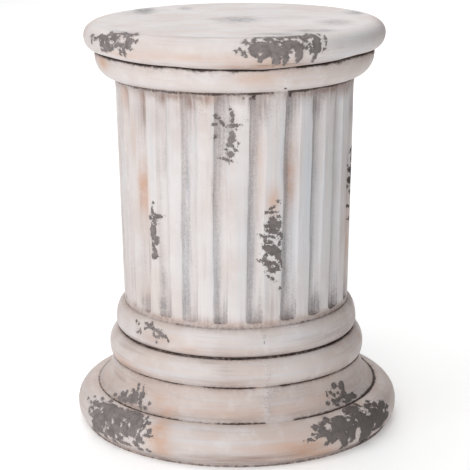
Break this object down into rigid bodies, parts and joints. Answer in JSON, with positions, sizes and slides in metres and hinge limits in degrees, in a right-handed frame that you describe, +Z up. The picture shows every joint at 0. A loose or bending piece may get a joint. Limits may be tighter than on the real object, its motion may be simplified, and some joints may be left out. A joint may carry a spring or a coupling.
{
  "type": "decorative column",
  "caption": "Short fluted garden column with a round slab top and a stacked, spreading base, used as a pedestal or plant stand.",
  "frame": {"origin": "centre of the flat underside, where the column stands on the ground", "axes": "+Z up along the shaft, -Y towards the viewer, +X to the viewer's right"},
  "size_m": [0.36, 0.36, 0.447],
  "materials": {
    "painted_stone": "antique white brushed paint, matt to satin, with grey bare patches where it is worn through"
  },
  "bodies": {
    "root": {"column": "painted_stone"}
  },
  "joints": []
}
